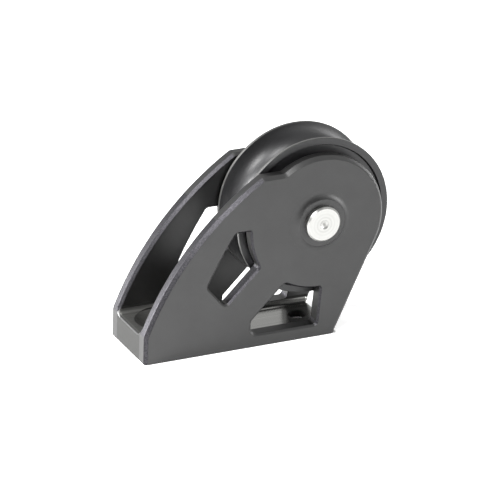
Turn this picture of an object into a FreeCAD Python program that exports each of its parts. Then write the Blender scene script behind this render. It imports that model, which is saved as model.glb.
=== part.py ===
import FreeCAD, Part
import math
import os

import Sketcher

# Halyard block for a mast foot: a sheave on a roller bearing, held by a steel pin between
# the two cheeks of a body that is machined in one piece.
# Frame: the origin is on the base face, straight under the axle and midway between the
# cheeks. +X points to the rear, +Z up, and the axle lies along Y.

document = FreeCAD.newDocument("halyard_block")

# Driving sizes, in millimetres.
SIZES = [
    # outline of the cheeks, seen from the side
    ("axle_height", 54.3),
    ("front_reach", 82.1),
    ("rear_reach", 8.5),
    ("axle_arc_radius", 30.2),
    ("ledge_height", 78.8),
    ("ledge_front", 28.0),
    ("nose_height", 12.8),
    ("front_arc_radius", 138.3),
    ("nose_round", 6.0),
    ("ledge_round", 2.4),
    ("ledge_fillet", 3.0),
    ("rear_corner_round", 2.3),
    # width, channel and floor
    ("body_width", 36.0),
    ("channel_width", 23.8),
    ("front_floor", 12.0),
    ("deep_floor", 3.2),
    ("step_front", 40.1),
    ("front_fillet", 3.0),
    ("deep_fillet", 3.0),
    ("outer_edge_round", 1.8),
    ("inner_edge_round", 1.4),
    # front window, a corner each: distance ahead of the axle and height
    ("front_window_nose", 53.1),
    ("front_window_nose_height", 31.5),
    ("front_window_foot", 44.4),
    ("front_window_foot_height", 21.4),
    ("front_window_top_front", 40.2),
    ("front_window_top_height", 54.8),
    ("front_window_radius", 33.2),
    ("front_window_bulge", 0.5),
    # rear window
    ("rear_window_front", 31.8),
    ("rear_window_floor", 5.6),
    ("rear_window_shoulder", 12.2),
    ("rear_window_radius", 31.0),
    ("rear_window_rear", 0.3),
    ("rear_window_lean", 1.3),
    ("window_small_round", 0.9),
    ("window_round", 1.9),
    ("window_large_round", 3.0),
    ("window_edge_round", 1.0),
    ("window_inner_round", 1.4),
    # dished seat round each end of the pin
    ("dish_radius", 14.8),
    ("dish_floor_radius", 11.3),
    ("dish_depth", 1.0),
    # mounting holes
    ("front_screw_inset", 14.7),
    ("front_screw_radius", 5.25),
    ("countersink_radius", 10.9),
    ("rear_screw_ahead", 0.9),
    ("rear_screw_radius", 4.25),
    # axle pin
    ("pin_radius", 8.0),
    ("pin_proud", 3.5),
    ("pin_chamfer", 0.7),
    ("pin_centre_radius", 2.2),
    # sheave
    ("sheave_radius", 36.0),
    ("groove_bottom_radius", 27.0),
    ("rim_land", 1.3),
    ("rim_break", 0.3),
    ("flange_ring", 3.0),
    ("flange_recess", 1.2),
    ("hub_radius", 20.0),
    # roller bearing
    ("washer_thickness", 0.9),
    ("washer_radius", 19.0),
    ("hub_gap", 0.3),
    ("running_clearance", 0.05),
    ("sleeve_wall", 2.0),
    ("liner_wall", 1.9),
    ("roller_radius", 2.5),
    ("roller_length", 18.0),
    ("roller_chamfer", 0.3),
    ("cage_wall", 2.7),
    ("pocket_clearance", 0.1),
]
ROLLER_COUNT = 12

# Sizes that follow from the driving ones.
DERIVED_SIZES = [
    ("half_body", "body_width / 2"),
    ("half_channel", "channel_width / 2"),
    ("cheek_wall", "half_body - half_channel"),
    ("outer_edge", "min(outer_edge_round; 0.4 * cheek_wall)"),
    ("inner_edge", "min(inner_edge_round; 0.4 * cheek_wall)"),
    ("front_screw_ahead", "front_reach - front_screw_inset"),
    ("half_hub", "half_channel - washer_thickness - hub_gap"),
    ("half_sleeve", "half_channel - washer_thickness"),
    ("step_radius", "front_floor - deep_floor"),
    ("sleeve_radius", "pin_radius + sleeve_wall"),
    ("roller_pitch_radius", "sleeve_radius + running_clearance + roller_radius"),
    ("liner_bore_radius", "roller_pitch_radius + roller_radius + running_clearance"),
    ("liner_radius", "liner_bore_radius + liner_wall"),
    ("cage_inner_radius", "roller_pitch_radius - cage_wall / 2"),
    ("cage_outer_radius", "roller_pitch_radius + cage_wall / 2"),
    ("pocket_length", "roller_length + 2 * pocket_clearance"),
    ("pocket_width", "2 * (roller_radius + pocket_clearance)"),
]

sheet = document.addObject("Spreadsheet::Sheet", "sizes")
for row, (name, value) in enumerate(SIZES, start=1):
    sheet.set("A%d" % row, name)
    sheet.set("B%d" % row, str(value))
    sheet.setAlias("B%d" % row, name)
for row, (name, formula) in enumerate(DERIVED_SIZES, start=len(SIZES) + 1):
    sheet.set("A%d" % row, name)
    sheet.set("B%d" % row, "=" + formula)
    sheet.setAlias("B%d" % row, name)
document.recompute()


def size(name):
    """The present value of one cell of the sheet."""
    return float(sheet.get(name))


def bind(thing, property_name, formula):
    """Ties one property to a formula in the sheet's names, written with a leading $."""
    thing.setExpression(property_name, formula.replace("$", "sizes."))


# Sketches. A point in them is a pair of numbers in the sketch's own plane.

def new_body(label):
    body = document.addObject("PartDesign::Body", label)
    body.Label = label
    return body


def new_sketch(body, name, role, offset=("0", "0", "0")):
    """A sketch on one of the body's own origin planes, moved by three formulas."""
    sketch = body.newObject("Sketcher::SketchObject", name)
    plane = [item for item in body.Origin.OriginFeatures if item.Role == role][0]
    sketch.AttachmentSupport = [(plane, "")]
    sketch.MapMode = "FlatFace"
    for axis, formula in zip("xyz", offset):
        if formula != "0":
            bind(sketch, "AttachmentOffset.Base." + axis, formula)
    return sketch


def vector(point):
    return FreeCAD.Vector(point[0], point[1], 0)


def add_line(sketch, start, end):
    return sketch.addGeometry(Part.LineSegment(vector(start), vector(end)), False)


def add_arc(sketch, centre, start, end):
    """An arc about the centre that runs anticlockwise from start to end."""
    radius = math.dist(centre, start)
    angle_start = math.atan2(start[1] - centre[1], start[0] - centre[0])
    angle_end = math.atan2(end[1] - centre[1], end[0] - centre[0])
    circle = Part.Circle(vector(centre), FreeCAD.Vector(0, 0, 1), radius)
    return sketch.addGeometry(Part.ArcOfCircle(circle, angle_start, angle_end), False)


def add_circle(sketch, centre, radius):
    circle = Part.Circle(vector(centre), FreeCAD.Vector(0, 0, 1), radius)
    return sketch.addGeometry(circle, False)


START, END, CENTRE = range(1, 4)


def join(sketch, first, first_end, second, second_end):
    sketch.addConstraint(Sketcher.Constraint("Coincident", first, first_end, second, second_end))


def place(sketch, geometry, end, across=None, up=None):
    """Fixes a point of a sketch by formulas for its two distances from the sketch's origin."""
    for kind, formula in (("DistanceX", across), ("DistanceY", up)):
        if formula is None:
            continue
        point = sketch.getPoint(geometry, end)
        value = point.x if kind == "DistanceX" else point.y
        constraint = Sketcher.Constraint(kind, -1, 1, geometry, end, value)
        index = sketch.addConstraint(constraint)
        bind(sketch, "Constraints[%d]" % index, formula)


def set_slope(sketch, line, degrees):
    sketch.addConstraint(Sketcher.Constraint("Angle", line, math.radians(degrees)))


def set_radius(sketch, geometry, formula):
    value = sketch.Geometry[geometry].Radius
    index = sketch.addConstraint(Sketcher.Constraint("Radius", geometry, value))
    bind(sketch, "Constraints[%d]" % index, formula)


def add_polygon(sketch, corners):
    """A closed outline of straight sides, each corner placed by two formulas."""
    points = [(evaluate(across), evaluate(up)) for across, up in corners]
    lines = []
    for start, end in zip(points, points[1:] + points[:1]):
        lines.append(add_line(sketch, start, end))
    for index, line in enumerate(lines):
        join(sketch, line, END, lines[(index + 1) % len(lines)], START)
        place(sketch, line, START, corners[index][0], corners[index][1])
    return lines


def evaluate(formula):
    """The value of a formula in the sheet's names, written with a leading $."""
    return float(sheet.evalExpression(formula.replace("$", "sizes.")))


# Features. Each one is made in its body and has its sizes tied to the sheet.

def pad_both_ways(body, sketch, name, width):
    pad = body.newObject("PartDesign::Pad", name)
    pad.Profile = sketch
    pad.SideType = "Symmetric"
    bind(pad, "Length", width)
    return pad


def cut_through(body, sketch, name, both_ways=False, backwards=False):
    before = body.Shape.Volume
    pocket = body.newObject("PartDesign::Pocket", name)
    pocket.Profile = sketch
    pocket.Type = "ThroughAll"
    pocket.SideType = "Symmetric" if both_ways else "One side"
    pocket.Reversed = backwards
    document.recompute()
    check_cut(body, name, before)
    return pocket


def turn(body, kind, sketch, name, axis, angle=360.0):
    before = body.Shape.Volume if kind == "Groove" else 0.0
    feature = body.newObject("PartDesign::" + kind, name)
    feature.Profile = sketch
    feature.ReferenceAxis = (sketch, [axis])
    feature.Angle = angle
    document.recompute()
    if kind == "Groove":
        check_cut(body, name, before)
    return feature


def check_cut(body, name, before):
    if not body.Shape.Volume < before:
        raise RuntimeError(name + " cuts nothing")


def round_edges(body, name, edges, radius, kind="Fillet"):
    """Rounds or breaks the edges, which are named by their numbers in the body's tip."""
    if not edges:
        raise RuntimeError(name + " finds no edge")
    feature = body.newObject("PartDesign::" + kind, name)
    base = feature.BaseFeature
    feature.Base = (base, ["Edge%d" % number for number in edges])
    bind(feature, "Radius" if kind == "Fillet" else "Size", radius)
    document.recompute()
    return feature


def edges_where(body, test):
    """Numbers of the edges of the body for which the test holds at both ends and the middle."""
    found = []
    for number, edge in enumerate(body.Shape.Edges, start=1):
        first, last = edge.ParameterRange
        points = [edge.valueAt(first), edge.valueAt((first + last) / 2), edge.valueAt(last)]
        if all(test(point) for point in points):
            found.append(number)
    return found


SLACK = 0.02


def near(value, target):
    return abs(value - target) < SLACK


def crosswise_edges(body, places):
    """Edges along Y that pass through one of the places, given as x and z."""
    def test(point):
        return any(near(point.x, x) and near(point.z, z) for x, z in places)
    return edges_where(body, test)


# Points of the outline that are worked out from the sizes.

AXLE = (0.0, size("axle_height"))


def circle_centre_right_of(first, second, radius):
    """Centre of the circle through two points, on the right going from first to second."""
    middle = ((first[0] + second[0]) / 2, (first[1] + second[1]) / 2)
    half = math.dist(first, second) / 2
    rise = math.sqrt(radius ** 2 - half ** 2)
    along = ((second[0] - first[0]) / (2 * half), (second[1] - first[1]) / (2 * half))
    return (middle[0] + along[1] * rise, middle[1] - along[0] * rise)


def tangent_point(outside, centre, radius):
    """Where the right-hand tangent from a point outside touches the circle."""
    distance = math.dist(outside, centre)
    bearing = math.atan2(outside[1] - centre[1], outside[0] - centre[0])
    angle = bearing + math.acos(radius / distance)
    return (centre[0] + radius * math.cos(angle), centre[1] + radius * math.sin(angle))


def axle_circle_at_height(radius, height):
    """Point ahead of the axle on a circle about it, at a height."""
    return (-math.sqrt(radius ** 2 - (height - AXLE[1]) ** 2), height)


def axle_circle_at_diagonal(radius, through):
    """Where the 45 degree line up and back from a point meets a circle about the axle."""
    rise = through[1] - through[0] - AXLE[1]
    x = (-rise - math.sqrt(2 * radius ** 2 - rise ** 2)) / 2
    return (x, x + rise + AXLE[1])


def make_block_body():
    """The one-piece body: base, two cheeks with windows, stepped channel and pin seats."""
    body = new_body("block_body")

    # side outline of both cheeks
    outline = new_sketch(body, "cheek_outline", "XZ_Plane")
    bottom_front = (-size("front_reach"), 0.0)
    bottom_rear = (size("rear_reach"), 0.0)
    rear_tangent = tangent_point(bottom_rear, AXLE, size("axle_arc_radius"))
    ledge_rear = axle_circle_at_height(size("axle_arc_radius"), size("ledge_height"))
    ledge_front = (-size("ledge_front"), size("ledge_height"))
    nose = (-size("front_reach"), size("nose_height"))
    arc_centre = circle_centre_right_of(nose, ledge_front, size("front_arc_radius"))
    base = add_line(outline, bottom_front, bottom_rear)
    rear = add_line(outline, bottom_rear, rear_tangent)
    crown = add_arc(outline, AXLE, rear_tangent, ledge_rear)
    ledge = add_line(outline, ledge_rear, ledge_front)
    front = add_arc(outline, arc_centre, ledge_front, nose)
    end = add_line(outline, nose, bottom_front)
    sides = [base, rear, crown, ledge, front, end]
    for first, second in zip(sides, sides[1:] + sides[:1]):
        if (first, second) != (rear, crown):
            join(outline, first, END, second, START)
    outline.addConstraint(Sketcher.Constraint("Tangent", rear, END, crown, START))
    place(outline, base, START, "-$front_reach", "0")
    place(outline, base, END, "$rear_reach", "0")
    place(outline, crown, CENTRE, "0", "$axle_height")
    set_radius(outline, crown, "$axle_arc_radius")
    place(outline, ledge, START, None, "$ledge_height")
    place(outline, ledge, END, "-$ledge_front", "$ledge_height")
    place(outline, front, END, "-$front_reach", "$nose_height")
    set_radius(outline, front, "$front_arc_radius")
    pad_both_ways(body, outline, "cheek_blank", "$body_width")
    document.recompute()
    round_edges(body, "nose_rounding", crosswise_edges(body, [nose]), "$nose_round")
    round_edges(body, "ledge_corner", crosswise_edges(body, [ledge_front]), "$ledge_round")
    round_edges(body, "ledge_hollow", crosswise_edges(body, [ledge_rear]), "$ledge_fillet")
    blank = body.Shape.copy()

    # windows through both cheeks
    cut_front_window(body)
    cut_rear_window(body)

    # the stepped channel for the rope and the sheave
    cut_channel(body)

    # pin bore and the dish round each end of it
    bore = new_sketch(body, "pin_bore_circle", "XZ_Plane", ("0", "$axle_height", "0"))
    circle = add_circle(bore, (0, 0), size("pin_radius"))
    set_radius(bore, circle, "$pin_radius")
    place(bore, circle, CENTRE, "0", "0")
    cut_through(body, bore, "pin_bore", both_ways=True)
    cut_dishes(body)

    # screw holes in the base, the front one countersunk
    cut_screw_holes(body)

    # rounded edges
    round_body_edges(body, blank)
    return body


def cut_front_window(body):
    sketch = new_sketch(body, "front_window_outline", "XZ_Plane")
    nose = (-size("front_window_nose"), size("front_window_nose_height"))
    foot = (-size("front_window_foot"), size("front_window_foot_height"))
    heel = axle_circle_at_diagonal(size("front_window_radius"), foot)
    top_rear = axle_circle_at_height(size("front_window_radius"), size("front_window_top_height"))
    top_front = (-size("front_window_top_front"), size("front_window_top_height"))
    half_side = math.dist(top_front, nose) / 2
    bulge = size("front_window_bulge")
    side_radius = (half_side ** 2 + bulge ** 2) / (2 * bulge)
    side_centre = circle_centre_right_of(nose, top_front, side_radius)
    lower_front = add_line(sketch, nose, foot)
    diagonal = add_line(sketch, foot, heel)
    # this side is hollow towards the sheave, so its arc runs from the top down
    inner = add_arc(sketch, AXLE, top_rear, heel)
    top = add_line(sketch, top_rear, top_front)
    side = add_arc(sketch, side_centre, top_front, nose)
    join(sketch, lower_front, END, diagonal, START)
    join(sketch, diagonal, END, inner, END)
    join(sketch, inner, START, top, START)
    join(sketch, top, END, side, START)
    join(sketch, side, END, lower_front, START)
    place(sketch, lower_front, START, "-$front_window_nose", "$front_window_nose_height")
    place(sketch, diagonal, START, "-$front_window_foot", "$front_window_foot_height")
    set_slope(sketch, diagonal, 45)
    place(sketch, inner, CENTRE, "0", "$axle_height")
    set_radius(sketch, inner, "$front_window_radius")
    set_radius(sketch, side, "(($front_window_nose - $front_window_top_front)^2 / 4"
               " + ($front_window_top_height - $front_window_nose_height)^2 / 4"
               " + $front_window_bulge^2) / (2 * $front_window_bulge)")
    sketch.addConstraint(Sketcher.Constraint("Horizontal", top))
    place(sketch, top, END, "-$front_window_top_front", "$front_window_top_height")
    cut_through(body, sketch, "front_window", both_ways=True)
    round_edges(body, "front_window_sharp_corner", crosswise_edges(body, [top_rear]),
                "$window_small_round")
    round_edges(body, "front_window_corners", crosswise_edges(body, [nose, foot, heel, top_front]),
                "$window_round")


def cut_rear_window(body):
    sketch = new_sketch(body, "rear_window_outline", "XZ_Plane")
    bottom_front = (-size("rear_window_front"), size("rear_window_floor"))
    shoulder = (-size("rear_window_front"), size("rear_window_shoulder"))
    top_front = axle_circle_at_diagonal(size("rear_window_radius"), shoulder)
    across = size("rear_window_lean") - size("rear_window_rear")
    top_rear = (across, AXLE[1] - math.sqrt(size("rear_window_radius") ** 2 - across ** 2))
    bottom_rear = (-size("rear_window_rear"), size("rear_window_floor"))
    front = add_line(sketch, bottom_front, shoulder)
    diagonal = add_line(sketch, shoulder, top_front)
    top = add_arc(sketch, AXLE, top_front, top_rear)
    rear = add_line(sketch, top_rear, bottom_rear)
    bottom = add_line(sketch, bottom_rear, bottom_front)
    sides = [front, diagonal, top, rear, bottom]
    for first, second in zip(sides, sides[1:] + sides[:1]):
        join(sketch, first, END, second, START)
    place(sketch, front, START, "-$rear_window_front", "$rear_window_floor")
    place(sketch, front, END, "-$rear_window_front", "$rear_window_shoulder")
    set_slope(sketch, diagonal, 45)
    place(sketch, top, CENTRE, "0", "$axle_height")
    set_radius(sketch, top, "$rear_window_radius")
    place(sketch, rear, START, "$rear_window_lean - $rear_window_rear", None)
    place(sketch, rear, END, "-$rear_window_rear", "$rear_window_floor")
    cut_through(body, sketch, "rear_window", both_ways=True)
    round_edges(body, "rear_window_sharp_corner", crosswise_edges(body, [top_rear]),
                "$window_small_round")
    round_edges(body, "rear_window_corners",
                crosswise_edges(body, [shoulder, top_front, bottom_rear]), "$window_round")
    round_edges(body, "rear_window_large_corner", crosswise_edges(body, [bottom_front]),
                "$window_large_round")


def add_channel_section(sketch, floor, top, fillet):
    """The round-cornered U of the channel, from its floor up to an open top."""
    half = size("half_channel")
    corner = evaluate(fillet)
    low = evaluate(floor)
    high = evaluate(top)
    floor_line = add_line(sketch, (-half + corner, low), (half - corner, low))
    right_corner = add_arc(sketch, (half - corner, low + corner), (half - corner, low),
                           (half, low + corner))
    right = add_line(sketch, (half, low + corner), (half, high))
    top_line = add_line(sketch, (half, high), (-half, high))
    left = add_line(sketch, (-half, high), (-half, low + corner))
    left_corner = add_arc(sketch, (-half + corner, low + corner), (-half, low + corner),
                          (-half + corner, low))
    sides = [floor_line, right_corner, right, top_line, left, left_corner]
    for first, second in zip(sides, sides[1:] + sides[:1]):
        join(sketch, first, END, second, START)
    place(sketch, floor_line, START, "-$half_channel + " + fillet, floor)
    place(sketch, floor_line, END, "$half_channel - " + fillet, floor)
    place(sketch, right_corner, CENTRE, "$half_channel - " + fillet, floor + " + " + fillet)
    place(sketch, left_corner, CENTRE, "-$half_channel + " + fillet, floor + " + " + fillet)
    place(sketch, right, START, None, floor + " + " + fillet)
    place(sketch, left, END, None, floor + " + " + fillet)
    place(sketch, right, END, "$half_channel", top)
    place(sketch, left, START, "-$half_channel", top)


def cut_channel(body):
    """A shallow channel from end to end, and a deep one behind the step under the sheave."""
    above = "$ledge_height + $sheave_radius"
    shallow = new_sketch(body, "shallow_channel_section", "YZ_Plane")
    add_channel_section(shallow, "$front_floor", above, "$front_fillet")
    cut_through(body, shallow, "shallow_channel", both_ways=True)

    # the deep channel runs out through the rear from the foot of the step's curve
    behind_step = "-$step_front + $step_radius"
    deep = new_sketch(body, "deep_channel_section", "YZ_Plane", ("0", "0", behind_step))
    add_channel_section(deep, "$deep_floor", above, "$deep_fillet")
    cut_through(body, deep, "deep_channel", backwards=True)

    # the step itself is the same section turned about the line where its curve starts
    step = new_sketch(body, "step_section", "YZ_Plane", ("0", "$front_floor", behind_step))
    add_channel_section(step, "-$step_radius", "0", "$deep_fillet")
    turn(body, "Groove", step, "step_curve", "H_Axis", angle=90.0)

    # above the step the walls end in upright corners of the same radius
    plan = new_sketch(body, "step_plan", "XY_Plane", ("0", "0", "$front_floor"))
    half = size("half_channel")
    corner = size("deep_fillet")
    front = -size("step_front")
    back = size("sheave_radius")
    lower = add_line(plan, (front + corner, -half), (back, -half))
    rear = add_line(plan, (back, -half), (back, half))
    upper = add_line(plan, (back, half), (front + corner, half))
    upper_corner = add_arc(plan, (front + corner, half - corner), (front + corner, half),
                           (front, half - corner))
    face = add_line(plan, (front, half - corner), (front, -half + corner))
    lower_corner = add_arc(plan, (front + corner, -half + corner), (front, -half + corner),
                           (front + corner, -half))
    sides = [lower, rear, upper, upper_corner, face, lower_corner]
    for first, second in zip(sides, sides[1:] + sides[:1]):
        join(plan, first, END, second, START)
    place(plan, upper_corner, CENTRE, "-$step_front + $deep_fillet", "$half_channel - $deep_fillet")
    place(plan, lower_corner, CENTRE, "-$step_front + $deep_fillet", "-$half_channel + $deep_fillet")
    place(plan, face, START, None, "$half_channel - $deep_fillet")
    place(plan, face, END, None, "-$half_channel + $deep_fillet")
    place(plan, lower, START, "-$step_front + $deep_fillet", "-$half_channel")
    place(plan, upper, END, "-$step_front + $deep_fillet", "$half_channel")
    place(plan, lower, END, "$sheave_radius", "-$half_channel")
    place(plan, upper, START, "$sheave_radius", "$half_channel")
    cut_through(body, plan, "step_face", backwards=True)


def cut_dishes(body):
    """A shallow dish with a softly rounded rim in the outer face of each cheek."""
    sketch = new_sketch(body, "dish_section", "XY_Plane", ("0", "0", "$axle_height"))
    face = size("half_body")
    rim = size("dish_radius")
    flat = size("dish_floor_radius")
    depth = size("dish_depth")
    rim_round = ((rim - flat) ** 2 + depth ** 2) / (2 * depth)
    for way, side in ((1, "$half_body"), (-1, "-$half_body")):
        inner = side + (" - $dish_depth" if way > 0 else " + $dish_depth")
        outer = side + (" + $dish_depth" if way > 0 else " - $dish_depth")
        centre = (rim, way * (face - rim_round))
        rim_point = (rim, way * face)
        flat_point = (flat, way * (face - depth))
        if way > 0:
            curve = add_arc(sketch, centre, rim_point, flat_point)
            rim_end, flat_end = START, END
        else:
            curve = add_arc(sketch, centre, flat_point, rim_point)
            rim_end, flat_end = END, START
        floor = add_line(sketch, flat_point, (0, way * (face - depth)))
        middle = add_line(sketch, (0, way * (face - depth)), (0, way * (face + depth)))
        lid = add_line(sketch, (0, way * (face + depth)), (rim, way * (face + depth)))
        wall = add_line(sketch, (rim, way * (face + depth)), rim_point)
        join(sketch, curve, flat_end, floor, START)
        join(sketch, floor, END, middle, START)
        join(sketch, middle, END, lid, START)
        join(sketch, lid, END, wall, START)
        join(sketch, wall, END, curve, rim_end)
        place(sketch, floor, START, "$dish_floor_radius", inner)
        place(sketch, floor, END, "0", inner)
        place(sketch, lid, START, "0", outer)
        place(sketch, lid, END, "$dish_radius", outer)
        place(sketch, wall, END, "$dish_radius", side)
        place(sketch, curve, CENTRE, "$dish_radius", None)
    turn(body, "Groove", sketch, "pin_dishes", "V_Axis")


def cut_screw_holes(body):
    holes = new_sketch(body, "screw_hole_circles", "XY_Plane")
    for ahead, radius in (("-$front_screw_ahead", "$front_screw_radius"),
                          ("-$rear_screw_ahead", "$rear_screw_radius")):
        circle = add_circle(holes, (evaluate(ahead), 0), evaluate(radius))
        place(holes, circle, CENTRE, ahead, "0")
        set_radius(holes, circle, radius)
    cut_through(body, holes, "screw_holes", both_ways=True)
    # the cone for the countersunk head, with straight sides above it through the floor's corners
    cone = new_sketch(body, "countersink_section", "XZ_Plane", ("-$front_screw_ahead", "0", "0"))
    cone_foot = "$front_floor - $countersink_radius + $front_screw_radius"
    add_polygon(cone, [
        ("0", cone_foot),
        ("$front_screw_radius", cone_foot),
        ("$countersink_radius", "$front_floor"),
        ("$countersink_radius", "$front_floor + $front_fillet"),
        ("0", "$front_floor + $front_fillet"),
    ])
    turn(body, "Groove", cone, "countersink", "V_Axis")


def outline_test(blank):
    """A test for points over the outline of the blank, which is kept from before the cuts."""
    side = max(blank.Faces, key=lambda face: face.CenterOfMass.y)
    level = side.CenterOfMass.y
    rim = Part.Compound([edge for edge in side.OuterWire.Edges if edge.BoundBox.ZMax > SLACK])

    def test(point):
        return rim.distToShape(Part.Vertex(point.x, level, point.z))[0] < SLACK
    return test


def round_body_edges(body, blank):
    """Soft edges round both faces of each cheek, as milled, and rounded rims at the windows."""
    on_outline = outline_test(blank)
    half_body = size("half_body")
    half_channel = size("half_channel")
    dish = size("dish_radius") + SLACK
    spoke = (size("front_window_foot") + size("front_window_foot_height")
             + size("rear_window_front") + size("rear_window_shoulder")) / 2

    def beyond_dish(point):
        return math.dist((point.x, point.z), AXLE) > dish

    outer = edges_where(body, lambda p: near(abs(p.y), half_body) and on_outline(p))
    round_edges(body, "outer_edges", outer, "$outer_edge")
    inner = edges_where(body, lambda p: abs(p.y) < half_channel + SLACK and on_outline(p))
    round_edges(body, "inner_edges", inner, "$inner_edge")
    rims = edges_where(body, lambda p: near(abs(p.y), half_body) and beyond_dish(p)
                       and p.z > SLACK and not touches_rounding(p, blank))
    round_edges(body, "window_rims", rims, "$window_edge_round")
    inner_rims = edges_where(body, lambda p: near(abs(p.y), half_channel) and beyond_dish(p)
                             and p.z - p.x > spoke and not touches_rounding(p, blank))
    round_edges(body, "front_window_inner_rims", inner_rims, "$window_inner_round")
    # the rear foot is rounded last, so that the base keeps its sharp long edges
    cut_rear_corner(body)


def touches_rounding(point, blank):
    """Whether a point lies within the width of the edge roundings from the outline."""
    side = max(blank.Faces, key=lambda face: face.CenterOfMass.y)
    seen = Part.Vertex(point.x, side.CenterOfMass.y, point.z)
    return side.OuterWire.distToShape(seen)[0] < size("outer_edge") + size("inner_edge")


def cut_rear_corner(body):
    """Rounds the lower rear edge, between the base and the sloping rear."""
    sketch = new_sketch(body, "rear_corner_outline", "XZ_Plane")
    radius = size("rear_corner_round")
    foot = (size("rear_reach"), 0.0)
    tangent = tangent_point(foot, AXLE, size("axle_arc_radius"))
    lean = math.atan2(tangent[1], tangent[0] - foot[0])
    reach = radius / math.tan((math.pi - lean) / 2)
    on_base = (foot[0] - reach, 0.0)
    on_rear = (foot[0] + reach * math.cos(lean), reach * math.sin(lean))
    below = (foot[0] + radius, -radius)
    arc = add_arc(sketch, (on_base[0], radius), on_base, on_rear)
    upper = add_line(sketch, on_rear, (below[0], on_rear[1]))
    side = add_line(sketch, (below[0], on_rear[1]), below)
    under = add_line(sketch, below, (on_base[0], below[1]))
    back = add_line(sketch, (on_base[0], below[1]), on_base)
    sides = [arc, upper, side, under, back]
    for first, second in zip(sides, sides[1:] + sides[:1]):
        join(sketch, first, END, second, START)
    set_radius(sketch, arc, "$rear_corner_round")
    cut_through(body, sketch, "rear_corner", both_ways=True)


def make_turned(label, corners, role="XY_Plane", offset=("0", "0", "$axle_height")):
    """A turned piece about the axle: each corner is a radius and a place along the axle."""
    body = new_body(label)
    sketch = new_sketch(body, label + "_section", role, offset)
    add_polygon(sketch, corners)
    turn(body, "Revolution", sketch, label + "_turning", "V_Axis")
    return body


def make_axle_pin():
    end = "($half_body + $pin_proud)"
    return make_turned("axle_pin", [
        ("0", "-" + end + " + $pin_chamfer"),
        ("$pin_centre_radius", "-" + end),
        ("$pin_radius - $pin_chamfer", "-" + end),
        ("$pin_radius", "-" + end + " + $pin_chamfer"),
        ("$pin_radius", end + " - $pin_chamfer"),
        ("$pin_radius - $pin_chamfer", end),
        ("$pin_centre_radius", end),
        ("0", end + " - $pin_chamfer"),
    ])


def make_sheave():
    """Rope sheave with a round groove, recessed flanges and a wide hub."""
    body = new_body("sheave")
    sketch = new_sketch(body, "sheave_section", "XY_Plane", ("0", "0", "$axle_height"))
    half = size("half_hub")
    rim = size("sheave_radius")
    lip = rim - size("rim_break")
    groove_half = half - size("rim_land")
    bottom = size("groove_bottom_radius")
    depth = lip - bottom
    groove_radius = (groove_half ** 2 + depth ** 2) / (2 * depth)
    centre = (bottom + groove_radius, 0.0)
    ring = "$sheave_radius - $flange_ring"
    corners = [
        ("$sheave_radius - $rim_break", "-$half_hub + $rim_land"),
        ("$sheave_radius", "-$half_hub + $rim_land - $rim_break"),
        ("$sheave_radius", "-$half_hub + $rim_break"),
        ("$sheave_radius - $rim_break", "-$half_hub"),
        (ring, "-$half_hub"),
        (ring + " - $flange_recess / 2", "-$half_hub + $flange_recess"),
        ("$hub_radius + $flange_recess / 2", "-$half_hub + $flange_recess"),
        ("$hub_radius", "-$half_hub"),
        ("$liner_radius", "-$half_hub"),
    ]
    other_side = [(across, up.replace("-$half_hub + ", "$half_hub - ").replace("-$half_hub", "$half_hub"))
                  for across, up in reversed(corners)]
    other_side = [(across, up.replace("$rim_land - $rim_break", "$rim_land + $rim_break"))
                  for across, up in other_side]
    chain = corners + other_side
    points = [(evaluate(across), evaluate(up)) for across, up in chain]
    lines = [add_line(sketch, start, end) for start, end in zip(points, points[1:])]
    for first, second in zip(lines, lines[1:]):
        join(sketch, first, END, second, START)
    for line, (across, up) in zip(lines, chain):
        place(sketch, line, START, across, up)
    place(sketch, lines[-1], END, chain[-1][0], chain[-1][1])
    # the groove's arc passes through the deepest point, on the middle plane
    groove = add_arc(sketch, centre, points[-1], points[0])
    join(sketch, lines[-1], END, groove, START)
    join(sketch, groove, END, lines[0], START)
    turn(body, "Revolution", sketch, "sheave_turning", "V_Axis")
    return body


def ring_corners(inner, outer, low, high, chamfer=None):
    """Section of a plain ring, its outer corners broken where a chamfer is given."""
    if chamfer is None:
        return [(inner, low), (outer, low), (outer, high), (inner, high)]
    return [
        (inner, low),
        (outer + " - " + chamfer, low),
        (outer, low + " + " + chamfer),
        (outer, high + " - " + chamfer),
        (outer + " - " + chamfer, high),
        (inner, high),
    ]


def make_thrust_washer(label, side):
    """A thin washer between the hub of the sheave and one cheek."""
    low = "-$half_channel" if side < 0 else "$half_sleeve"
    high = "-$half_sleeve" if side < 0 else "$half_channel"
    return make_turned(label, ring_corners("$pin_radius + $running_clearance", "$washer_radius",
                                           low, high))


def make_roller_cage():
    """A ring with one slot for each roller."""
    body = make_turned("roller_cage", ring_corners("$cage_inner_radius", "$cage_outer_radius",
                                                   "-$half_hub", "$half_hub"))
    pocket = new_sketch(body, "roller_pocket", "XY_Plane", ("0", "0", "$axle_height"))
    add_polygon(pocket, [
        ("-$pocket_width / 2", "-$pocket_length / 2"),
        ("$pocket_width / 2", "-$pocket_length / 2"),
        ("$pocket_width / 2", "$pocket_length / 2"),
        ("-$pocket_width / 2", "$pocket_length / 2"),
    ])
    slot = cut_through(body, pocket, "roller_slot", backwards=True)
    pattern = body.newObject("PartDesign::PolarPattern", "roller_slots")
    pattern.Originals = [slot]
    pattern.Axis = (body.getObject("roller_cage_section"), ["V_Axis"])
    pattern.Angle = 360.0
    pattern.Occurrences = ROLLER_COUNT
    body.Tip = pattern
    document.recompute()
    return body


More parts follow.
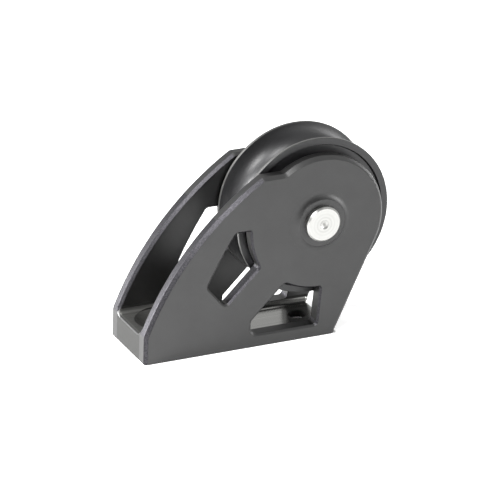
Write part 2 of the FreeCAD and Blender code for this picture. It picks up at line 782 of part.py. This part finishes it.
def make_roller(number):
    """A plain roller, turned about its own axis and set on the pitch circle."""
    body = new_body("roller_%02d" % (number + 1))
    sketch = new_sketch(body, body.Label + "_section", "XY_Plane")
    add_polygon(sketch, ring_corners("0", "$roller_radius", "-$roller_length / 2",
                                     "$roller_length / 2", "$roller_chamfer"))
    turn(body, "Revolution", sketch, body.Label + "_turning", "V_Axis")
    turn_angle = "%d * %.1f deg" % (number, 360.0 / ROLLER_COUNT)
    bind(body, "Placement.Base.x", "$roller_pitch_radius * sin(%s)" % turn_angle)
    bind(body, "Placement.Base.z", "$axle_height + $roller_pitch_radius * cos(%s)" % turn_angle)
    return body


pieces = [
    make_block_body(),
    make_axle_pin(),
    make_sheave(),
    make_turned("bearing_sleeve", ring_corners("$pin_radius + $running_clearance", "$sleeve_radius",
                                               "-$half_sleeve", "$half_sleeve")),
    make_turned("sheave_liner", ring_corners("$liner_bore_radius", "$liner_radius",
                                             "-$half_hub", "$half_hub")),
    make_thrust_washer("near_thrust_washer", -1),
    make_thrust_washer("far_thrust_washer", 1),
    make_roller_cage(),
]
pieces += [make_roller(number) for number in range(ROLLER_COUNT)]
document.recompute()

for thing in document.Objects:
    if "Invalid" in thing.State or "Error" in thing.State:
        raise RuntimeError("%s failed: %s" % (thing.Label, thing.State))

os.makedirs("parts", exist_ok=True)
for piece in pieces:
    shape = piece.Shape
    if shape.isNull() or not shape.isValid() or len(shape.Solids) != 1:
        raise RuntimeError(piece.Label + " is not one valid solid")
    shape.exportStep("parts/%s.step" % piece.Label)
    print(piece.Label, round(shape.Volume, 1))
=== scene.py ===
"""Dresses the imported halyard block: anodised body, steel pin, composite sheave, bearing and stage."""

import math

import bmesh
import bpy
from bpy.props import FloatProperty, FloatVectorProperty, PointerProperty
from mathutils import Matrix, Vector


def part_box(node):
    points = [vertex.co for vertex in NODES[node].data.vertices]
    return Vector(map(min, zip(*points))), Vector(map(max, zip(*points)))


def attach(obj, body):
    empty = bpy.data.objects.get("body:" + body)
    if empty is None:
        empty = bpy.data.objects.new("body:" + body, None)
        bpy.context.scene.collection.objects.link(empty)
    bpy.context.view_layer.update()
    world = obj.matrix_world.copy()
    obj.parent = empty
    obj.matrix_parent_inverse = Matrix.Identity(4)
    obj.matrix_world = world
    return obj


bl_info = {
    "name": "Halyard block",
    "version": (1, 0, 0),
    "blender": (4, 5, 0),
    "location": "3D View > Sidebar > Halyard block",
    "description": "Finishes and stage for a halyard block with a roller-bearing sheave",
    "category": "Object",
}

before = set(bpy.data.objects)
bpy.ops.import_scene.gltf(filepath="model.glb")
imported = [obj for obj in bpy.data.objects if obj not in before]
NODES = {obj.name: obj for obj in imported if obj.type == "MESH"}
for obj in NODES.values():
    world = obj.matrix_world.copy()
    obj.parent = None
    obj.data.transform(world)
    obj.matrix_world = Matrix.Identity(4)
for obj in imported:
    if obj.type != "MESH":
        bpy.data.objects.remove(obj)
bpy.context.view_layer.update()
BODY_LOW, BODY_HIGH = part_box("block_body")
SHEAVE_LOW, SHEAVE_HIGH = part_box("sheave")
PIN_LOW, PIN_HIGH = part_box("axle_pin")
AXLE_HEIGHT = (SHEAVE_LOW.z + SHEAVE_HIGH.z) / 2
PIN_RADIUS = (PIN_HIGH.z - PIN_LOW.z) / 2
BARE_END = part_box("bearing_sleeve")[1].x  # the floor under the block has no glow up to here

# Where the body's surfaces lie, in metres
DEEP_FLOOR_TOP = 0.008  # a height between the deep floor and the front floor
CHANNEL_HALF = SHEAVE_HIGH.y + 0.0012  # just past the channel's walls
DISH_RADIUS = PIN_RADIUS * 1.95  # just past the dishes round the pin
LIP_DEPTH = 0.0025  # length of the rounded lip in front of the front floor

# How the body's surfaces lean, as parts of a direction of length one
EDGE_LEAST, EDGE_MOST = 0.14, 0.988  # sideways part on a broken edge
FACET_SLANT = math.sqrt(0.5)  # a broken edge's flat facet lies at 45 degrees
SLOPE_LEAST, SLOPE_MOST = 0.15, 0.72  # upward part on the front slope of a cheek
CROWN_LEAST = 0.84  # upward part on the crown over the axle
FLOOR_LEAST = 0.35  # upward part on the channel's floors
LIP_LEAST = 0.35  # forward part on the rounded lip

# How deep the finishes' bumps are, in metres
BLAST_DEPTH = 0.000008
MOULD_DEPTH = 0.00004
TURN_DEPTH = 0.0000012
WASHER_DEPTH = 0.000006

# How fine the finishes' grains are, in waves to the metre
MOTTLE_SCALE = 90.0
MILLING_SCALE = (12.0, 900.0, 900.0)  # long streaks from front to rear
SCRATCH_SCALE = 900.0
MOULD_GRAIN_SCALE = 1300.0
MOULD_CLOUD_SCALE = 150.0
GROUND_SCALE = 1400.0
WASHER_SCALE = 1800.0

# Shine and colours
ALUMINIUM_SHINE = 0.1
SHEAVE_SHINE = 0.55
WASHER_DARK = (0.66, 0.65, 0.60)
WASHER_PALE = (0.74, 0.73, 0.68)

# Pin seats
TURN_STEPS = 128
FLANK_STEPS = 12
SHARP_ANGLE = math.radians(25)  # flatter edges are shaded smooth
PIN_GAP = 0.00003  # between the pin and a seat's bore
WELD = 0.000001  # corners closer than this are one

# Stage, with the floor's and the card's sizes as half their width
FLOOR_HALF = 2.5
FLOOR_COLOUR = (0.80, 0.80, 0.80)
FLOOR_GLOW = 0.70
ROOM_LIGHT = 0.20  # what the white room gives to rays that only light
CARD_HALF = 1.7
CARD_PLACE = Vector((-0.95, -2.00, 1.60))
CARD_COLOUR = (0.02, 0.02, 0.02)
LAMP_AIM = Vector((-0.03, 0.0, 0.045))
LAMPS = (  # name, place, width in metres, power in watts
    ("left_softbox", (-0.93, 0.34, 0.14), 0.50, 54.0),
    ("front_softbox", (0.80, -0.62, 0.14), 0.40, 5.0),
    ("high_softbox", (-0.60, -0.45, 0.75), 0.40, 9.5),
    ("top_softbox", (-0.20, 0.08, 0.95), 0.40, 5.0),
    ("rear_softbox", (0.88, 0.45, 0.16), 0.50, 8.0),
)
SENSOR_WIDTH = 36.0
CAMERA_AIM = Vector((-0.0298, 0.0, 0.0432))


class Wire:
    """A number that changes over a surface; arithmetic on it adds Math nodes."""

    def __init__(self, graph, socket):
        self.graph = graph
        self.socket = socket

    def math(self, operation, *others, clamp=False):
        settings = {"operation": operation, "use_clamp": clamp}
        return self.graph.node("ShaderNodeMath", settings, dict(enumerate((self,) + others)))

    def __add__(self, other):
        return self.math("ADD", other)

    __radd__ = __add__

    def __sub__(self, other):
        return self.math("SUBTRACT", other)

    def __rsub__(self, other):
        return self * -1.0 + other

    def __mul__(self, other):
        return self.math("MULTIPLY", other)

    __rmul__ = __mul__

    def __truediv__(self, other):
        return self.math("DIVIDE", other)

    def __pow__(self, other):
        return self.math("POWER", other)

    def __gt__(self, other):
        return self.math("GREATER_THAN", other)

    def __lt__(self, other):
        return self.math("LESS_THAN", other)

    def __abs__(self):
        return self.math("ABSOLUTE")

    def clamped(self):
        return self.math("ADD", 0.0, clamp=True)


class Graph:
    """The node tree of a material or of the world, built from expressions."""

    def __init__(self, owner):
        owner.use_nodes = True
        self.owner = owner
        self.tree = owner.node_tree
        self.tree.nodes.clear()

    @classmethod
    def material(cls, name):
        return cls(bpy.data.materials.new(name))

    def node(self, kind, settings=None, values=None, output=0):
        """Adds a node, sets it up, fills its sockets and gives the wanted output."""
        made = self.tree.nodes.new(kind)
        for name, value in (settings or {}).items():
            setattr(made, name, value)
        for name, value in (values or {}).items():
            socket = made.inputs[name]
            if isinstance(value, Wire):
                self.tree.links.new(value.socket, socket)
            else:
                socket.default_value = value
        return Wire(self, made.outputs[output]) if made.outputs else made

    def place(self):
        """Where a point lies on the piece, in the frame's own metres."""
        return self.node("ShaderNodeTexCoord", output="Object")

    def axis(self, vector, name):
        return self.node("ShaderNodeSeparateXYZ", None, {0: vector}, output=name)

    def axes(self, vector):
        return tuple(self.axis(vector, name) for name in "XYZ")

    def from_axle(self, place):
        """How far a place lies from the axle's line."""
        across = self.axis(place, "X")
        up = self.axis(place, "Z") - AXLE_HEIGHT
        return (across ** 2.0 + up ** 2.0) ** 0.5

    def facing(self):
        """The surface's own direction at a point."""
        return self.node("ShaderNodeNewGeometry", output="Normal")

    def stretched(self, vector, scale):
        """A place scaled by its own amount along each axis, for streaks."""
        settings = {"operation": "MULTIPLY"}
        return self.node("ShaderNodeVectorMath", settings, {0: vector, 1: scale})

    def noise(self, vector, scale, detail):
        return self.node("ShaderNodeTexNoise", None, {"Vector": vector, "Scale": scale, "Detail": detail})

    def blend(self, factor, first, second):
        """A colour that goes from first to second as factor rises from 0 to 1."""
        settings = {"data_type": "RGBA", "clamp_factor": True}
        values = {0: factor, 6: rgba(first), 7: rgba(second)}
        return self.node("ShaderNodeMix", settings, values, output=2)

    def varied(self, factor, colour, low, high):
        """A colour scaled from low to high as factor rises from 0 to 1."""
        return self.blend(factor, tint(colour, low), tint(colour, high))

    def bump(self, height, distance, normal=None):
        values = {"Strength": 1.0, "Distance": distance, "Height": height}
        if normal is not None:
            values["Normal"] = normal
        return self.node("ShaderNodeBump", None, values)

    def surface(self, values):
        """Ends the tree in one Principled shader."""
        return self.end(self.node("ShaderNodeBsdfPrincipled", None, values))

    def end(self, shader, kind="ShaderNodeOutputMaterial"):
        self.node(kind, None, {"Surface": shader})
        return self.owner


def rgba(colour):
    return colour if isinstance(colour, Wire) else (*tuple(colour)[:3], 1.0)


def tint(colour, factor):
    return tuple(value * factor for value in colour)


def wear_material(piece_names, material):
    """Gives carried-over nodes their finish."""
    for name in piece_names:
        mesh = NODES[name].data
        mesh.materials.clear()
        mesh.materials.append(material)


def blasted(graph, sizes):
    """Colour, roughness and grain of the blasted and anodised faces."""
    place = graph.place()
    grain = graph.noise(place, 1.0 / sizes.grain, 1.0)
    mottle = graph.noise(place, MOTTLE_SCALE, 3.0) * 0.6 + grain * 0.4
    face = graph.varied(mottle, sizes.colour, 0.84, 1.10)
    return face, sizes.roughness - 0.03 + grain * 0.06, grain


def turned_piece(name, profile, way, material):
    """A piece of the block turned round the axle from a closed profile.

    The profile's corners are (radius, distance from the middle); way is the side, -1 near and 1 far.
    """
    mesh = bpy.data.meshes.new(name)
    shape = bmesh.new()
    corners = [shape.verts.new((radius, way * reach, AXLE_HEIGHT)) for radius, reach in profile]
    edges = [shape.edges.new((corners[index - 1], corners[index])) for index in range(len(corners))]
    bmesh.ops.spin(shape, geom=corners + edges, cent=(0, 0, AXLE_HEIGHT), axis=(0, 1, 0),
                   angle=2 * math.pi, steps=TURN_STEPS, use_merge=True)
    bmesh.ops.remove_doubles(shape, verts=shape.verts, dist=WELD)
    bmesh.ops.recalc_face_normals(shape, faces=shape.faces)
    for face in shape.faces:
        face.smooth = True
    for edge in shape.edges:
        edge.smooth = edge.calc_face_angle(0.0) < SHARP_ANGLE
    shape.to_mesh(mesh)
    shape.free()
    mesh.materials.append(material)
    piece = bpy.data.objects.new(name, mesh)
    bpy.context.scene.collection.objects.link(piece)
    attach(piece, "block")
    return piece


class AnodisedSizes(bpy.types.PropertyGroup):
    """Finish of the machined body."""
    colour: FloatVectorProperty(
        name="Anodised colour", description="Base colour of the blasted and anodised metal",
        subtype="COLOR", size=3, default=(0.064, 0.064, 0.064), min=0.0, max=1.0)
    edge_colour: FloatVectorProperty(
        name="Edge colour", description="Base colour on the slopes and broken edges, darker and bluer",
        subtype="COLOR", size=3, default=(0.042, 0.041, 0.045), min=0.0, max=1.0)
    # painted shade: the channel's walls get a darker copy of the anodised colour, for the shade between
    # the cheeks
    painted_shade_wall_colour: FloatVectorProperty(
        name="Inner wall colour", description="Base colour of the channel's walls, darker than outside",
        subtype="COLOR", size=3, default=(0.024, 0.024, 0.023), min=0.0, max=1.0)
    # painted light: the channel's floors get paler copies of the anodised colour, the deep floor under
    # the sheave palest
    painted_light_floor_colour: FloatVectorProperty(
        name="Floor colour", description="Base colour of the milled floors of the channel",
        subtype="COLOR", size=3, default=(0.110, 0.110, 0.105), min=0.0, max=1.0)
    painted_light_deep_floor_colour: FloatVectorProperty(
        name="Deep floor colour", description="Base colour of the bright milled floor under the sheave",
        subtype="COLOR", size=3, default=(0.300, 0.300, 0.288), min=0.0, max=1.0)
    roughness: FloatProperty(
        name="Roughness", description="How matt the blasted surface is",
        default=0.42, min=0.0, max=1.0)
    floor_roughness: FloatProperty(
        name="Floor roughness", description="How matt the milled floors are",
        default=0.34, min=0.0, max=1.0)
    deep_floor_roughness: FloatProperty(
        name="Deep floor roughness", description="How matt the floor under the sheave is",
        default=0.20, min=0.0, max=1.0)
    grain: FloatProperty(
        name="Blast grain", description="Width of one dimple of the blasted surface",
        default=0.00030, min=0.00005, unit="LENGTH")
    edge_grain: FloatProperty(
        name="Edge grain", description="Width of one sparkle on the broken edges",
        default=0.00040, min=0.00005, unit="LENGTH")


class SeatSizes(bpy.types.PropertyGroup):
    """Raised seat round each end of the pin: a flat ring with a hollow flank down to the face."""
    ring_radius: FloatProperty(
        name="Ring radius", description="Outer radius of the seat's flat ring",
        default=0.0108, min=0.009, max=0.013, unit="LENGTH")
    foot_radius: FloatProperty(
        name="Foot radius", description="Where the hollow flank runs out into the cheek's face",
        default=0.0141, min=0.0135, max=0.015, unit="LENGTH")
    height: FloatProperty(
        name="Seat height", description="How far the flat ring stands proud of the cheek's face",
        default=0.0012, min=0.0001, max=0.002, unit="LENGTH")
    cover_radius: FloatProperty(
        name="Cover radius", description="Outer radius of the thin skin that covers the dish's edge",
        default=0.0151, min=0.015, max=0.0155, unit="LENGTH")
    skin: FloatProperty(
        name="Skin", description="How far the thin skin stands proud of the cheek's face",
        default=0.00002, min=0.000005, max=0.0001, unit="LENGTH")
    root_radius: FloatProperty(
        name="Root radius", description="Radius of the seat's root on the floor of the dish",
        default=0.0110, min=0.009, max=0.0113, unit="LENGTH")
    depth: FloatProperty(
        name="Depth", description="How far the root reaches in under the cheek's face",
        default=0.00101, min=0.0001, max=0.002, unit="LENGTH")


class SheaveSizes(bpy.types.PropertyGroup):
    """Finish of the moulded sheave."""
    colour: FloatVectorProperty(
        name="Sheave colour", description="Base colour of the moulded composite",
        subtype="COLOR", size=3, default=(0.014, 0.014, 0.015), min=0.0, max=1.0)
    # painted highlight: the flanges' outermost rims get a paler colour
    painted_rim_highlight_colour: FloatVectorProperty(
        name="Worn colour", description="Base colour of the flanges' rubbed rims",
        subtype="COLOR", size=3, default=(0.050, 0.050, 0.048), min=0.0, max=1.0)
    # how far in from the outermost radius the painted highlight reaches
    painted_rim_highlight_depth: FloatProperty(
        name="Worn depth", description="How far in from the outermost radius the rims are rubbed",
        default=0.00025, min=0.0, max=0.002, unit="LENGTH")
    roughness: FloatProperty(
        name="Roughness", description="How matt the moulded surface is",
        default=0.38, min=0.0, max=1.0)


class SteelSizes(bpy.types.PropertyGroup):
    """Finish of the pin and of the bearing's steel pieces."""
    colour: FloatVectorProperty(
        name="Steel colour", description="Base colour of the stainless steel",
        subtype="COLOR", size=3, default=(0.45, 0.45, 0.435), min=0.0, max=1.0)
    ring_pitch: FloatProperty(
        name="Turning pitch", description="Distance between the turned rings on the pin's end",
        default=0.00022, min=0.00002, unit="LENGTH")
    # painted shade: broad darker rings on the pin's end, fading out towards its edge
    shade_ring_pitch: FloatProperty(
        name="Wave pitch", description="Distance between the broad shaded rings on the pin's end",
        default=0.0015, min=0.0002, unit="LENGTH")
    shade_ring_reach: FloatProperty(
        name="Wave reach", description="Radius at which the broad shaded rings have faded out",
        default=0.0070, min=0.001, unit="LENGTH")
    centre_radius: FloatProperty(
        name="Centre radius", description="Radius of the duller centre mark in the pin's end",
        default=0.00125, min=0.0002, unit="LENGTH")


class StageSizes(bpy.types.PropertyGroup):
    """Camera and lamps."""
    azimuth: FloatProperty(
        name="Azimuth", description="Direction the camera looks from, round the upright axis",
        subtype="ANGLE", default=math.radians(-25.82))
    elevation: FloatProperty(
        name="Elevation", description="Height of the camera above the horizon",
        subtype="ANGLE", default=math.radians(23.52))
    roll: FloatProperty(
        name="Roll", description="How far the camera is turned about its own line of sight",
        subtype="ANGLE", default=math.radians(1.72))
    distance: FloatProperty(
        name="Distance", description="From the camera to the point it looks at",
        default=1.8227, min=0.1, unit="LENGTH")
    lens: FloatProperty(
        name="Lens", description="Focal length on a 36 mm sensor, in millimetres",
        default=315.65, min=10.0)
    lamp_strength: FloatProperty(
        name="Lamp strength", description="Scales all the lamps together",
        default=1.0, min=0.0)


class BLOCK_OT_body(bpy.types.Operator):
    """Bead-blasted, black anodised aluminium on the one-piece body"""
    bl_idname = "halyard.body"
    bl_label = "Machined body"

    def execute(self, context):
        sizes = context.scene.halyard_anodised
        graph = Graph.material("black_anodised")
        place = graph.place()
        face, matt, grain = blasted(graph, sizes)
        streaks = graph.noise(graph.stretched(place, MILLING_SCALE), 1.0, 2.0)
        edge, painted_highlight_mask, normal = self.broken_edges(graph, place)
        floor, deep, wall = self.channel_parts(graph, place)
        sparkle = ((graph.noise(place, 1.0 / sizes.edge_grain, 0.0) - 0.5) * 2.6 + 0.5).clamped()
        slope = graph.varied(sparkle, sizes.edge_colour, 0.65, 1.35)
        # painted highlight: edges that look up or back get a paler, smooth copy of the anodised colour
        edges_with_painted_highlight = graph.blend(painted_highlight_mask, slope, tint(sizes.colour, 1.3))
        # painted shade: a darker colour on the channel's walls between the cheeks
        painted_shade_walls = graph.varied(grain, sizes.painted_shade_wall_colour, 0.80, 1.20)
        # painted light: paler colours on the channel's floors; the streaks in them are milling marks
        milled = graph.blend(deep, graph.varied(streaks, sizes.painted_light_floor_colour, 0.75, 1.25),
                             graph.varied(streaks, sizes.painted_light_deep_floor_colour, 0.75, 1.25))
        colour = graph.blend(floor, graph.blend(wall, graph.blend(edge, face, edges_with_painted_highlight), painted_shade_walls), milled)
        roughness = (matt + floor * (sizes.floor_roughness - sizes.roughness)
                     + floor * deep * (sizes.deep_floor_roughness - sizes.floor_roughness))
        height = (grain - 0.5) * (1.0 - edge) + floor * streaks * 0.5
        wear_material(["block_body"], graph.surface({
            "Base Color": colour, "Roughness": roughness, "Specular IOR Level": ALUMINIUM_SHINE,
            "Metallic": 1.0 - wall * 0.7 - floor * (1.0 - deep) * 0.3,
            "Normal": graph.bump(height, BLAST_DEPTH, normal)}))
        return {"FINISHED"}

    def broken_edges(self, graph, place):
        """Where the slopes and broken edges of the cheeks are, which of them look up or back and get a
        painted highlight, and the directions of the body's surface with the broken edges as flat facets."""
        out_x, out_y, out_z = graph.axes(graph.facing())
        cheek = (abs(graph.axis(place, "Y")) > CHANNEL_HALF) * (graph.from_axle(place) > DISH_RADIUS)
        edge = (abs(out_y) > EDGE_LEAST) * (abs(out_y) < EDGE_MOST) * cheek
        slope = (abs(out_y) < SLOPE_LEAST) * (out_z > SLOPE_LEAST) * (out_z < SLOPE_MOST) * cheek
        level = (out_x ** 2.0 + out_z ** 2.0) ** 0.5
        facet = graph.node("ShaderNodeCombineXYZ", None, {
            "X": out_x / level * FACET_SLANT, "Y": out_y / abs(out_y) * FACET_SLANT,
            "Z": out_z / level * FACET_SLANT})
        directions = graph.node("ShaderNodeMix", {"data_type": "VECTOR"},
                                {0: edge, 4: graph.facing(), 5: facet}, output=1)
        # edges that look up or back, which get a painted highlight
        painted_highlight_mask = ((out_z / level > CROWN_LEAST) + (out_x > 0.0)).clamped()
        return (edge + slope).clamped(), painted_highlight_mask, directions

    def channel_parts(self, graph, place):
        """Where the milled floors are, what lies low, and where the walls between the cheeks are."""
        inside = abs(graph.axis(place, "Y")) < CHANNEL_HALF
        rising = graph.axis(graph.facing(), "Z") > FLOOR_LEAST
        deep = graph.axis(place, "Z") < DEEP_FLOOR_TOP
        lip = ((graph.axis(place, "X") < BODY_LOW.x + LIP_DEPTH)
               * (abs(graph.axis(graph.facing(), "X")) > LIP_LEAST))
        return inside * rising * (1.0 - lip), deep, inside * (1.0 - rising)


class BLOCK_OT_seats(bpy.types.Operator):
    """Raised seats round the pin's ends, in the body's finish"""
    bl_idname = "halyard.seats"
    bl_label = "Pin seats"

    def execute(self, context):
        sizes = context.scene.halyard_seat
        material = self.finish(context.scene.halyard_anodised)
        bore = PIN_RADIUS + PIN_GAP
        out = sizes.foot_radius - sizes.ring_radius
        flank_radius = (out ** 2 + sizes.height ** 2) / (2 * sizes.height)
        flank_angle = math.asin(out / flank_radius)
        for name, way, face in (("near_pin_seat", -1, -BODY_LOW.y), ("far_pin_seat", 1, BODY_HIGH.y)):
            skin = face + sizes.skin
            turns = [flank_angle * (1 - index / FLANK_STEPS) for index in range(FLANK_STEPS + 1)]
            flank = [(sizes.foot_radius - flank_radius * math.sin(turn),
                      skin + flank_radius * (1 - math.cos(turn))) for turn in turns]
            profile = [(bore, flank[0][1])] + flank + [
                (sizes.cover_radius, skin), (sizes.cover_radius, face - sizes.skin),
                (sizes.root_radius, face - sizes.depth), (bore, face - sizes.depth)]
            turned_piece(name, profile, way, material)
        return {"FINISHED"}

    def finish(self, sizes):
        graph = Graph.material("anodised_seat")
        face, matt, grain = blasted(graph, sizes)
        return graph.surface({
            "Base Color": face, "Roughness": matt, "Specular IOR Level": ALUMINIUM_SHINE,
            "Metallic": 1.0, "Normal": graph.bump(grain, BLAST_DEPTH)})


class BLOCK_OT_pin(bpy.types.Operator):
    """Turned and polished stainless pin"""
    bl_idname = "halyard.pin"
    bl_label = "Axle pin"

    def execute(self, context):
        sizes = context.scene.halyard_steel
        graph = Graph.material("polished_steel")
        place = graph.place()
        radius = graph.from_axle(place)
        rings = (radius * (2 * math.pi / sizes.ring_pitch)).math("SINE")
        # painted shade: broad darker rings on the pin's end, strongest at its middle
        waves = (radius * (2 * math.pi / sizes.shade_ring_pitch)).math("SINE") * 0.5 + 0.5
        shade = waves * (1.0 - radius / sizes.shade_ring_reach).clamped()
        scratches = graph.noise(place, SCRATCH_SCALE, 3.0)
        roughness = 0.30 + scratches * 0.06 + (radius < sizes.centre_radius) * 0.25
        wear_material(["axle_pin"], graph.surface({
            "Base Color": graph.varied(shade, sizes.colour, 1.0, 0.72),
            "Metallic": 1.0, "Roughness": roughness, "Normal": graph.bump(rings, TURN_DEPTH)}))
        return {"FINISHED"}


class BLOCK_OT_sheave(bpy.types.Operator):
    """Satin moulded composite sheave"""
    bl_idname = "halyard.sheave"
    bl_label = "Sheave"

    def execute(self, context):
        sizes = context.scene.halyard_sheave
        graph = Graph.material("sheave_composite")
        place = graph.place()
        grain = graph.noise(place, MOULD_GRAIN_SCALE, 1.0)
        cloud = graph.noise(place, MOULD_CLOUD_SCALE, 3.0)
        # painted highlight: a paler ring on the flanges' outermost rims
        rim_highlight_mask = graph.from_axle(place) > SHEAVE_HIGH.x - sizes.painted_rim_highlight_depth
        moulded = graph.varied(cloud, sizes.colour, 0.8, 1.25)
        wear_material(["sheave"], graph.surface({
            "Base Color": graph.blend(rim_highlight_mask, moulded, sizes.painted_rim_highlight_colour),
            "Roughness": sizes.roughness - 0.04 + grain * 0.08,
            "Specular IOR Level": SHEAVE_SHINE, "Normal": graph.bump(grain, MOULD_DEPTH)}))
        return {"FINISHED"}


class BLOCK_OT_bearing(bpy.types.Operator):
    """Ground steel and plain plastic of the bearing inside the hub"""
    bl_idname = "halyard.bearing"
    bl_label = "Roller bearing"

    def execute(self, context):
        steel = Graph.material("bearing_steel")
        streaks = steel.noise(steel.place(), GROUND_SCALE, 3.0)
        steel_finish = steel.surface({
            "Base Color": rgba(context.scene.halyard_steel.colour), "Metallic": 1.0,
            "Roughness": 0.16 + streaks * 0.12})
        plastic = Graph.material("washer_plastic")
        grain = plastic.noise(plastic.place(), WASHER_SCALE, 2.0)
        plastic_finish = plastic.surface({
            "Base Color": plastic.blend(grain, WASHER_DARK, WASHER_PALE),
            "Roughness": 0.42 + grain * 0.10, "Normal": plastic.bump(grain, WASHER_DEPTH)})
        rollers = [name for name in NODES if name.startswith("roller_") and name != "roller_cage"]
        wear_material(["bearing_sleeve", "sheave_liner"] + rollers, steel_finish)
        wear_material(["near_thrust_washer", "far_thrust_washer", "roller_cage"], plastic_finish)
        return {"FINISHED"}


class BLOCK_OT_stage(bpy.types.Operator):
    """White floor and surroundings, soft lamps and the camera"""
    bl_idname = "halyard.stage"
    bl_label = "Stage"

    def execute(self, context):
        self.make_floor()
        self.make_world(context)
        self.make_lamps(context)
        self.make_card()
        self.make_camera(context)
        context.scene.view_settings.view_transform = "Standard"
        return {"FINISHED"}

    def make_floor(self):
        """Takes shadows, and glows white where it is seen or mirrored, but not under the block."""
        graph = Graph.material("white_floor")
        diffuse = graph.node("ShaderNodeBsdfDiffuse", None, {"Color": rgba(FLOOR_COLOUR)})
        glow = graph.node("ShaderNodeEmission", None, {"Strength": FLOOR_GLOW})
        both = graph.node("ShaderNodeAddShader", None, {0: diffuse, 1: glow})
        across, along = graph.axis(graph.place(), "X"), graph.axis(graph.place(), "Y")
        under = ((across > BODY_LOW.x) * (across < BARE_END)
                 * (along > BODY_LOW.y) * (along < BODY_HIGH.y))
        seen = seen_directly(graph) * (1.0 - under)
        mixed = graph.node("ShaderNodeMixShader", None, {0: seen, 1: diffuse, 2: both})
        flat_panel("floor", FLOOR_HALF, graph.end(mixed))

    def make_world(self, context):
        world = bpy.data.worlds.new("white_room")
        context.scene.world = world
        graph = Graph(world)
        strength = seen_directly(graph) * (1.0 - ROOM_LIGHT) + ROOM_LIGHT
        background = graph.node("ShaderNodeBackground", None, {"Strength": strength})
        graph.end(background, "ShaderNodeOutputWorld")

    def make_card(self):
        """A dark panel behind the camera that only reflections show."""
        graph = Graph.material("dark_card")
        cloth = graph.node("ShaderNodeBsdfDiffuse", None, {"Color": rgba(CARD_COLOUR)})
        card = flat_panel("dark_card", CARD_HALF, graph.end(cloth))
        card.location = CARD_PLACE
        card.rotation_mode = "QUATERNION"
        card.rotation_quaternion = (-CARD_PLACE).to_track_quat("-Z", "Y")
        card.visible_camera = False
        card.visible_diffuse = False
        card.visible_shadow = False

    def make_lamps(self, context):
        strength = context.scene.halyard_stage.lamp_strength
        for name, place, width, power in LAMPS:
            add_lamp(name, place, width, power * strength)

    def make_camera(self, context):
        sizes = context.scene.halyard_stage
        data = bpy.data.cameras.new("camera")
        data.sensor_width = SENSOR_WIDTH
        data.lens = sizes.lens
        data.clip_start, data.clip_end = 0.05, 50.0
        camera = bpy.data.objects.new("camera", data)
        context.scene.collection.objects.link(camera)
        context.scene.camera = camera
        level = math.cos(sizes.elevation)
        back = Vector((math.sin(sizes.azimuth) * level, -math.cos(sizes.azimuth) * level,
                       math.sin(sizes.elevation)))
        turn = (-back).to_track_quat("-Z", "Y").to_matrix().to_4x4()
        roll = Matrix.Rotation(sizes.roll, 4, "Z")
        camera.matrix_world = Matrix.Translation(CAMERA_AIM + back * sizes.distance) @ turn @ roll


def seen_directly(graph):
    """One on rays that show the white surroundings, and nought on rays that only light."""
    rays = ("Is Camera Ray", "Is Glossy Ray", "Is Transmission Ray")
    parts = [graph.node("ShaderNodeLightPath", output=ray) for ray in rays]
    return (parts[0] + parts[1] + parts[2]).clamped()


def flat_panel(name, half, material):
    """A level square, twice half across, round the origin."""
    mesh = bpy.data.meshes.new(name)
    mesh.from_pydata([(-half, -half, 0), (half, -half, 0), (half, half, 0), (-half, half, 0)],
                     [], [(0, 1, 2, 3)])
    mesh.materials.append(material)
    panel = bpy.data.objects.new(name, mesh)
    bpy.context.scene.collection.objects.link(panel)
    return panel


def add_lamp(name, place, width, power):
    data = bpy.data.lights.new(name, "AREA")
    data.shape = "DISK"
    data.size = width
    data.energy = power
    lamp = bpy.data.objects.new(name, data)
    lamp.location = place
    lamp.rotation_mode = "QUATERNION"
    lamp.rotation_quaternion = (LAMP_AIM - Vector(place)).to_track_quat("-Z", "Y")
    bpy.context.scene.collection.objects.link(lamp)


class BLOCK_PT_panel(bpy.types.Panel):
    """Lists the steps in the 3D view's sidebar"""
    bl_idname = "BLOCK_PT_panel"
    bl_label = "Halyard block"
    bl_space_type = "VIEW_3D"
    bl_region_type = "UI"
    bl_category = "Halyard block"

    def draw(self, context):
        for group in GROUPS:
            settings = getattr(context.scene, group)
            for name in settings.__annotations__:
                self.layout.prop(settings, name)
        for step in STEPS:
            self.layout.operator(step.bl_idname)


GROUPS = {
    "halyard_anodised": AnodisedSizes,
    "halyard_seat": SeatSizes,
    "halyard_sheave": SheaveSizes,
    "halyard_steel": SteelSizes,
    "halyard_stage": StageSizes,
}
STEPS = (BLOCK_OT_body, BLOCK_OT_seats, BLOCK_OT_pin, BLOCK_OT_sheave, BLOCK_OT_bearing, BLOCK_OT_stage)


def register():
    for name, group in GROUPS.items():
        bpy.utils.register_class(group)
        setattr(bpy.types.Scene, name, PointerProperty(type=group))
    for step in STEPS:
        bpy.utils.register_class(step)
    bpy.utils.register_class(BLOCK_PT_panel)


def unregister():
    bpy.utils.unregister_class(BLOCK_PT_panel)
    for step in reversed(STEPS):
        bpy.utils.unregister_class(step)
    for name, group in GROUPS.items():
        delattr(bpy.types.Scene, name)
        bpy.utils.unregister_class(group)


def main():
    register()
    bpy.ops.halyard.body()
    bpy.ops.halyard.seats()
    bpy.ops.halyard.pin()
    bpy.ops.halyard.sheave()
    bpy.ops.halyard.bearing()
    bpy.ops.halyard.stage()


if __name__ == "__main__":
    main()
